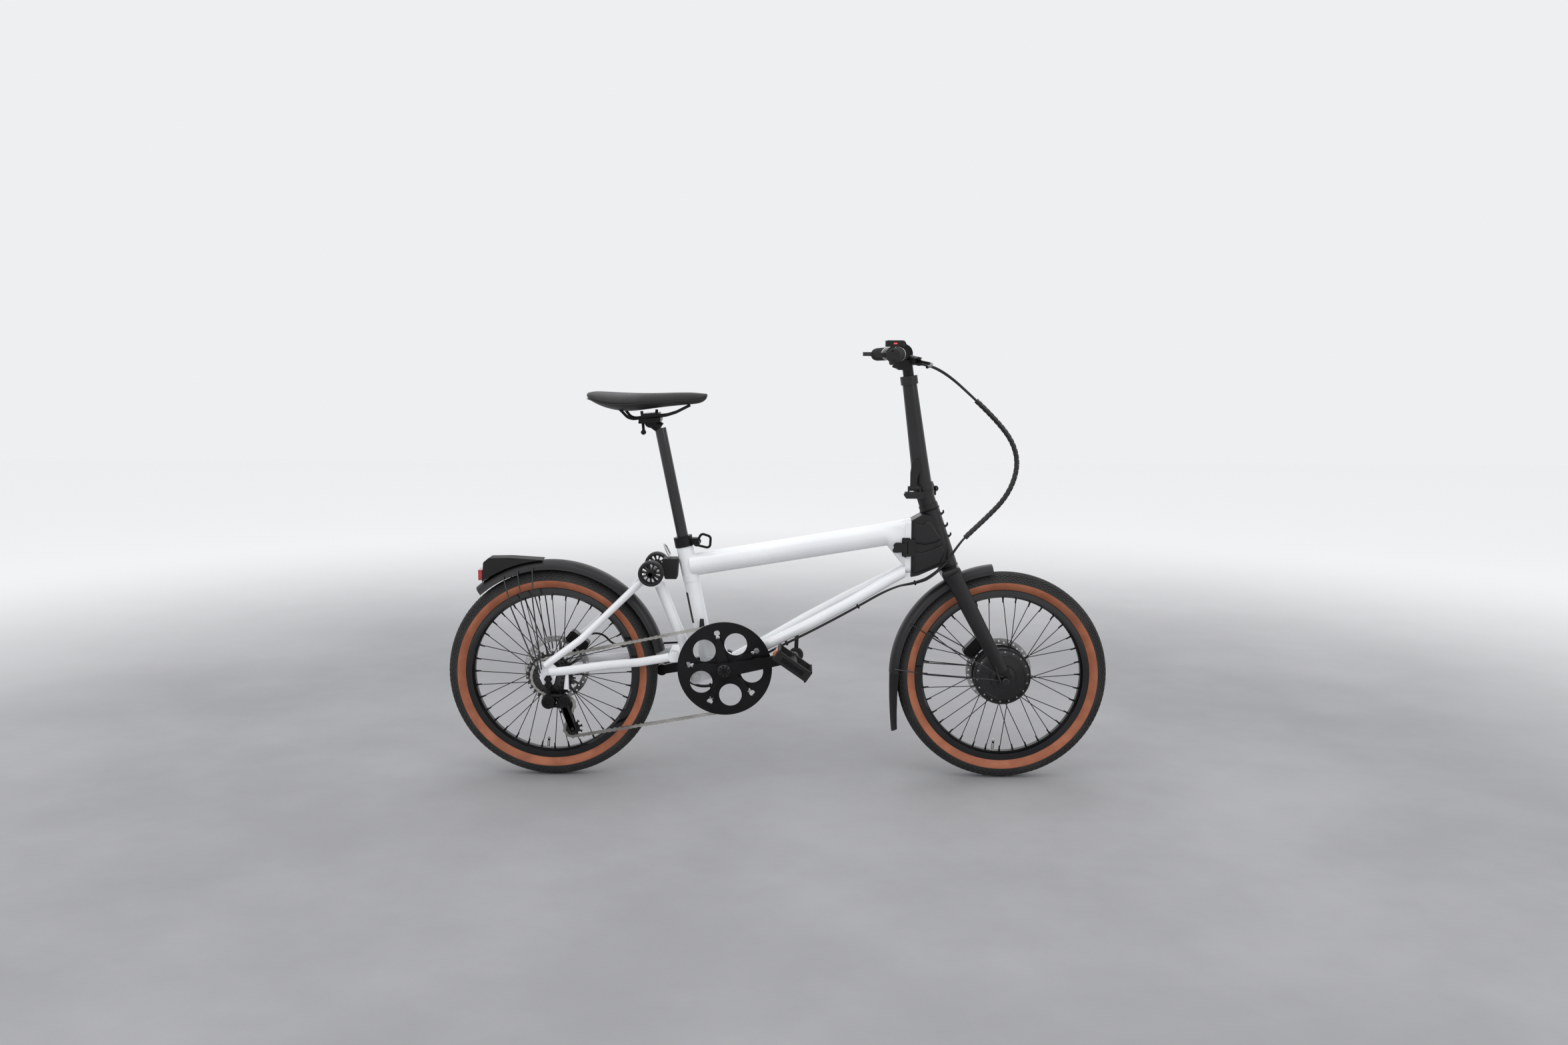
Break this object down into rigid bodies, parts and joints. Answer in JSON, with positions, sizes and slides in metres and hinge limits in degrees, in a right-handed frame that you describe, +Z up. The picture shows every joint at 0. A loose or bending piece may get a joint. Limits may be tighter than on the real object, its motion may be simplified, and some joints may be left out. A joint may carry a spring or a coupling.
{
  "type": "folding_bicycle",
  "caption": "Folding electric bicycle on 20 inch wheels with a hinged frame, swinging rear triangle, folding stem, derailleur gears and disc brakes",
  "frame": {"origin": "on the ground midway between the wheel axles", "axes": "+X is the riding direction, +Y the rider's left, +Z up"},
  "size_m": [1.5909, 0.6102, 1.0524],
  "materials": {
    "frame_white": "gloss",
    "fork_black": "satin",
    "post_black": "gloss",
    "trim_black": "matte",
    "bare_steel": "satin",
    "crank_black": "satin",
    "chain_steel": "satin",
    "tyre_rubber": "matte",
    "rim_black": "satin",
    "spoke_black": "satin",
    "saddle_skin": "matte",
    "fender_black": "satin",
    "lens_red": "gloss",
    "roller_black": "matte",
    "grip_rubber": "matte",
    "cable_black": "matte",
    "hub_black": "satin",
    "hub_silver": "satin"
  },
  "bodies": {
    "rear_frame": {"seat_tube": "frame_white", "top_tube": "frame_white", "bottom_bracket": "frame_white", "down_tubes": "frame_white", "head_plate": "frame_white", "hinge_pins": "bare_steel", "frame_catches": "trim_black", "seat_collar": "crank_black", "guide_and_bumper": "trim_black", "frame_cables": "cable_black"},
    "frame_latch": {"latch_lever": "trim_black"},
    "catch_bail": {"release_bail": "bare_steel"},
    "seat_quick_release": {"seat_lever": "crank_black"},
    "seat": {"seatpost": "post_black", "seat_clamp": "crank_black", "saddle": "saddle_skin"},
    "rear_triangle": {"rear_pillar": "frame_white", "rear_stays": "frame_white", "rear_axles": "bare_steel", "rear_fender": "fender_black", "tail_light": "trim_black", "tail_lens": "lens_red", "rear_caliper": "crank_black", "derailleur_body": "crank_black", "chain": "chain_steel"},
    "roller_pair": {"rollers": "roller_black"},
    "chain_tensioner": {"derailleur_cage": "crank_black"},
    "upper_pulley": {"guide_pulley": "trim_black"},
    "lower_pulley": {"tension_pulley": "trim_black"},
    "sprockets": {"cassette": "chain_steel"},
    "rear_wheel": {"rear_tyre": "tyre_rubber", "rear_rim": "rim_black", "rear_hub": "hub_silver", "rear_spokes": "spoke_black", "rear_rotor": "bare_steel"},
    "cranks": {"crankset": "crank_black", "chainring": "crank_black"},
    "right_pedal": {"pedal_right": "trim_black"},
    "left_pedal": {"pedal_left": "trim_black"},
    "front_frame": {"head_housing": "fork_black"},
    "front_fork": {"fork": "fork_black", "stem_base": "fork_black", "front_fender": "fender_black", "front_caliper": "crank_black", "front_axle": "bare_steel"},
    "front_wheel": {"front_tyre": "tyre_rubber", "front_rim": "rim_black", "hub_motor": "hub_black", "front_spokes": "spoke_black", "front_rotor": "bare_steel"},
    "stem": {"stem_tube": "fork_black", "front_cables": "cable_black"},
    "stem_lever": {"stem_latch": "trim_black"},
    "handlebars": {"handlebar_post": "crank_black", "handlebar": "crank_black", "grips": "grip_rubber", "bar_controls": "trim_black"},
    "right_brake_lever": {"brake_lever_right": "crank_black"},
    "left_brake_lever": {"brake_lever_left": "crank_black"},
    "thumb_throttle": {"throttle": "trim_black"}
  },
  "joints": [
    {"name": "rear_fold", "type": "hinge", "parent": "rear_frame", "child": "rear_triangle", "pos_m": [-0.195, 0, 0.248], "axis": [0, -1, 0], "range_deg": [0, 130], "deforming": ["chain"]},
    {"name": "head_fold", "type": "hinge", "parent": "rear_frame", "child": "front_frame", "pos_m": [0.318, 0.038, 0.567], "axis": [0, 0, -1], "range_deg": [-150, 0], "deforming": ["frame_cables"]},
    {"name": "frame_latch_turn", "type": "hinge", "parent": "rear_frame", "child": "frame_latch", "pos_m": [0.304, -0.035, 0.567], "axis": [0, 0, 1], "range_deg": [0, 100]},
    {"name": "catch_bail_turn", "type": "hinge", "parent": "rear_frame", "child": "catch_bail", "pos_m": [-0.258, 0, 0.541], "axis": [0, -1, 0], "range_deg": [0, 30]},
    {"name": "seat_lever_turn", "type": "hinge", "parent": "rear_frame", "child": "seat_quick_release", "pos_m": [-0.192, 0, 0.573], "axis": [0, -1, 0], "range_deg": [0, 75]},
    {"name": "seatpost_slide", "type": "slide", "parent": "rear_frame", "child": "seat", "axis": [-0.1942, 0, 0.981], "range_m": [-0.08, 0.09]},
    {"name": "roller_spin", "type": "hinge", "parent": "rear_triangle", "child": "roller_pair", "pos_m": [-0.296, 0, 0.508], "axis": [0, 1, 0], "continuous": true},
    {"name": "tensioner_swing", "type": "hinge", "parent": "rear_triangle", "child": "chain_tensioner", "pos_m": [-0.503, 0, 0.203], "axis": [0, -1, 0], "range_deg": [-10, 25], "stiffness_Nm_per_rad": 0.6},
    {"name": "upper_pulley_spin", "type": "hinge", "parent": "chain_tensioner", "child": "upper_pulley", "pos_m": [-0.506, 0, 0.183], "axis": [0, 1, 0], "continuous": true},
    {"name": "lower_pulley_spin", "type": "hinge", "parent": "chain_tensioner", "child": "lower_pulley", "pos_m": [-0.49, 0, 0.126], "axis": [0, 1, 0], "continuous": true},
    {"name": "sprocket_spin", "type": "hinge", "parent": "rear_triangle", "child": "sprockets", "pos_m": [-0.5425, 0, 0.253], "axis": [0, 1, 0], "continuous": true},
    {"name": "rear_wheel_spin", "type": "hinge", "parent": "rear_triangle", "child": "rear_wheel", "pos_m": [-0.5425, 0, 0.253], "axis": [0, 1, 0], "continuous": true},
    {"name": "crank_spin", "type": "hinge", "parent": "rear_frame", "child": "cranks", "pos_m": [-0.124, 0, 0.276], "axis": [0, 1, 0], "continuous": true},
    {"name": "right_pedal_spin", "type": "hinge", "parent": "cranks", "child": "right_pedal", "pos_m": [0.03797, 0, 0.30748], "axis": [0, 1, 0], "continuous": true},
    {"name": "left_pedal_spin", "type": "hinge", "parent": "cranks", "child": "left_pedal", "pos_m": [-0.28597, 0, 0.24452], "axis": [0, 1, 0], "continuous": true},
    {"name": "steering", "type": "hinge", "parent": "front_frame", "child": "front_fork", "pos_m": [0.4087, 0, 0.5195], "axis": [0.3217, 0, -0.9468], "range_deg": [-45, 45]},
    {"name": "front_wheel_spin", "type": "hinge", "parent": "front_fork", "child": "front_wheel", "pos_m": [0.5425, 0, 0.253], "axis": [0, 1, 0], "continuous": true},
    {"name": "stem_fold", "type": "hinge", "parent": "front_fork", "child": "stem", "pos_m": [0.36992, 0.02192, 0.7035], "axis": [-0.7071, 0.7071, 0], "range_deg": [0, 150], "deforming": ["front_cables"]},
    {"name": "stem_lever_turn", "type": "hinge", "parent": "front_fork", "child": "stem_lever", "pos_m": [0.323, -0.031, 0.708], "axis": [1, 0, 0], "range_deg": [0, 100]},
    {"name": "bar_height_slide", "type": "slide", "parent": "stem", "child": "handlebars", "axis": [-0.1403, 0, 0.9901], "range_m": [-0.024, 0.06]},
    {"name": "right_brake_pull", "type": "hinge", "parent": "handlebars", "child": "right_brake_lever", "pos_m": [0.318, -0.13, 1.007], "axis": [0, 0, -1], "range_deg": [0, 18], "stiffness_Nm_per_rad": 0.3},
    {"name": "left_brake_pull", "type": "hinge", "parent": "handlebars", "child": "left_brake_lever", "pos_m": [0.318, 0.13, 1.007], "axis": [0, 0, 1], "range_deg": [0, 18], "stiffness_Nm_per_rad": 0.3},
    {"name": "throttle_turn", "type": "hinge", "parent": "handlebars", "child": "thumb_throttle", "pos_m": [0.27154, -0.166, 1.0221], "axis": [-0.1543, -0.9878, -0.0191], "range_deg": [0, 30], "stiffness_Nm_per_rad": 0.05}
  ],
  "couplings": [
    {"joint": "sprocket_spin", "follows": "crank_spin", "ratio": 2.3636},
    {"joint": "upper_pulley_spin", "follows": "crank_spin", "ratio": -5.2},
    {"joint": "lower_pulley_spin", "follows": "crank_spin", "ratio": 5.2}
  ]
}
